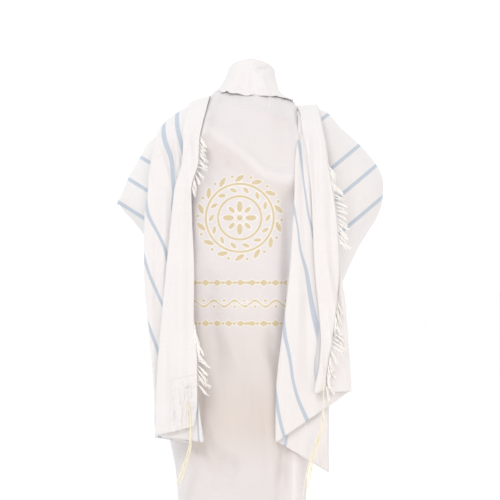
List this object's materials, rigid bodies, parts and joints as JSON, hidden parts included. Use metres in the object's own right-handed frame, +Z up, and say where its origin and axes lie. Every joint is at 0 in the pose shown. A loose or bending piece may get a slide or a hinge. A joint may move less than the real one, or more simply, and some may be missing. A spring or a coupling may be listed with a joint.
{
  "type": "tallit prayer shawl",
  "caption": "Large woven prayer shawl as worn: neck fold, back panel, cloth held out over the bent arms, and striped ends thrown back over the shoulders, with fringe and tzitzit.",
  "frame": {"origin": "base of the neck, midway between the shoulders that carry the shawl", "axes": "+Z up, -Y the way the wearer's back faces, +X to the wearer's right"},
  "size_m": [0.7946, 0.4181, 1.4096],
  "materials": {
    "white_wool": "soft plain weave, slightly sheer",
    "cream_fringe_yarn": "twisted wool yarn"
  },
  "bodies": {
    "root": {"neck_fold": "white_wool", "back_panel": "white_wool", "left_arm_drape": "white_wool", "right_arm_drape": "white_wool", "left_fall": "white_wool", "right_fall": "white_wool", "left_front_tail": "white_wool", "right_front_tail": "white_wool", "left_corner_patch": "white_wool", "left_fall_upper_fringe": "cream_fringe_yarn", "left_fall_lower_fringe": "cream_fringe_yarn", "right_fall_upper_fringe": "cream_fringe_yarn", "right_fall_lower_fringe": "cream_fringe_yarn", "left_front_fringe": "cream_fringe_yarn", "right_front_fringe": "cream_fringe_yarn", "left_fall_tzitzit": "cream_fringe_yarn", "right_fall_tzitzit": "cream_fringe_yarn", "left_front_tzitzit": "cream_fringe_yarn", "right_front_tzitzit": "cream_fringe_yarn"}
  },
  "joints": []
}
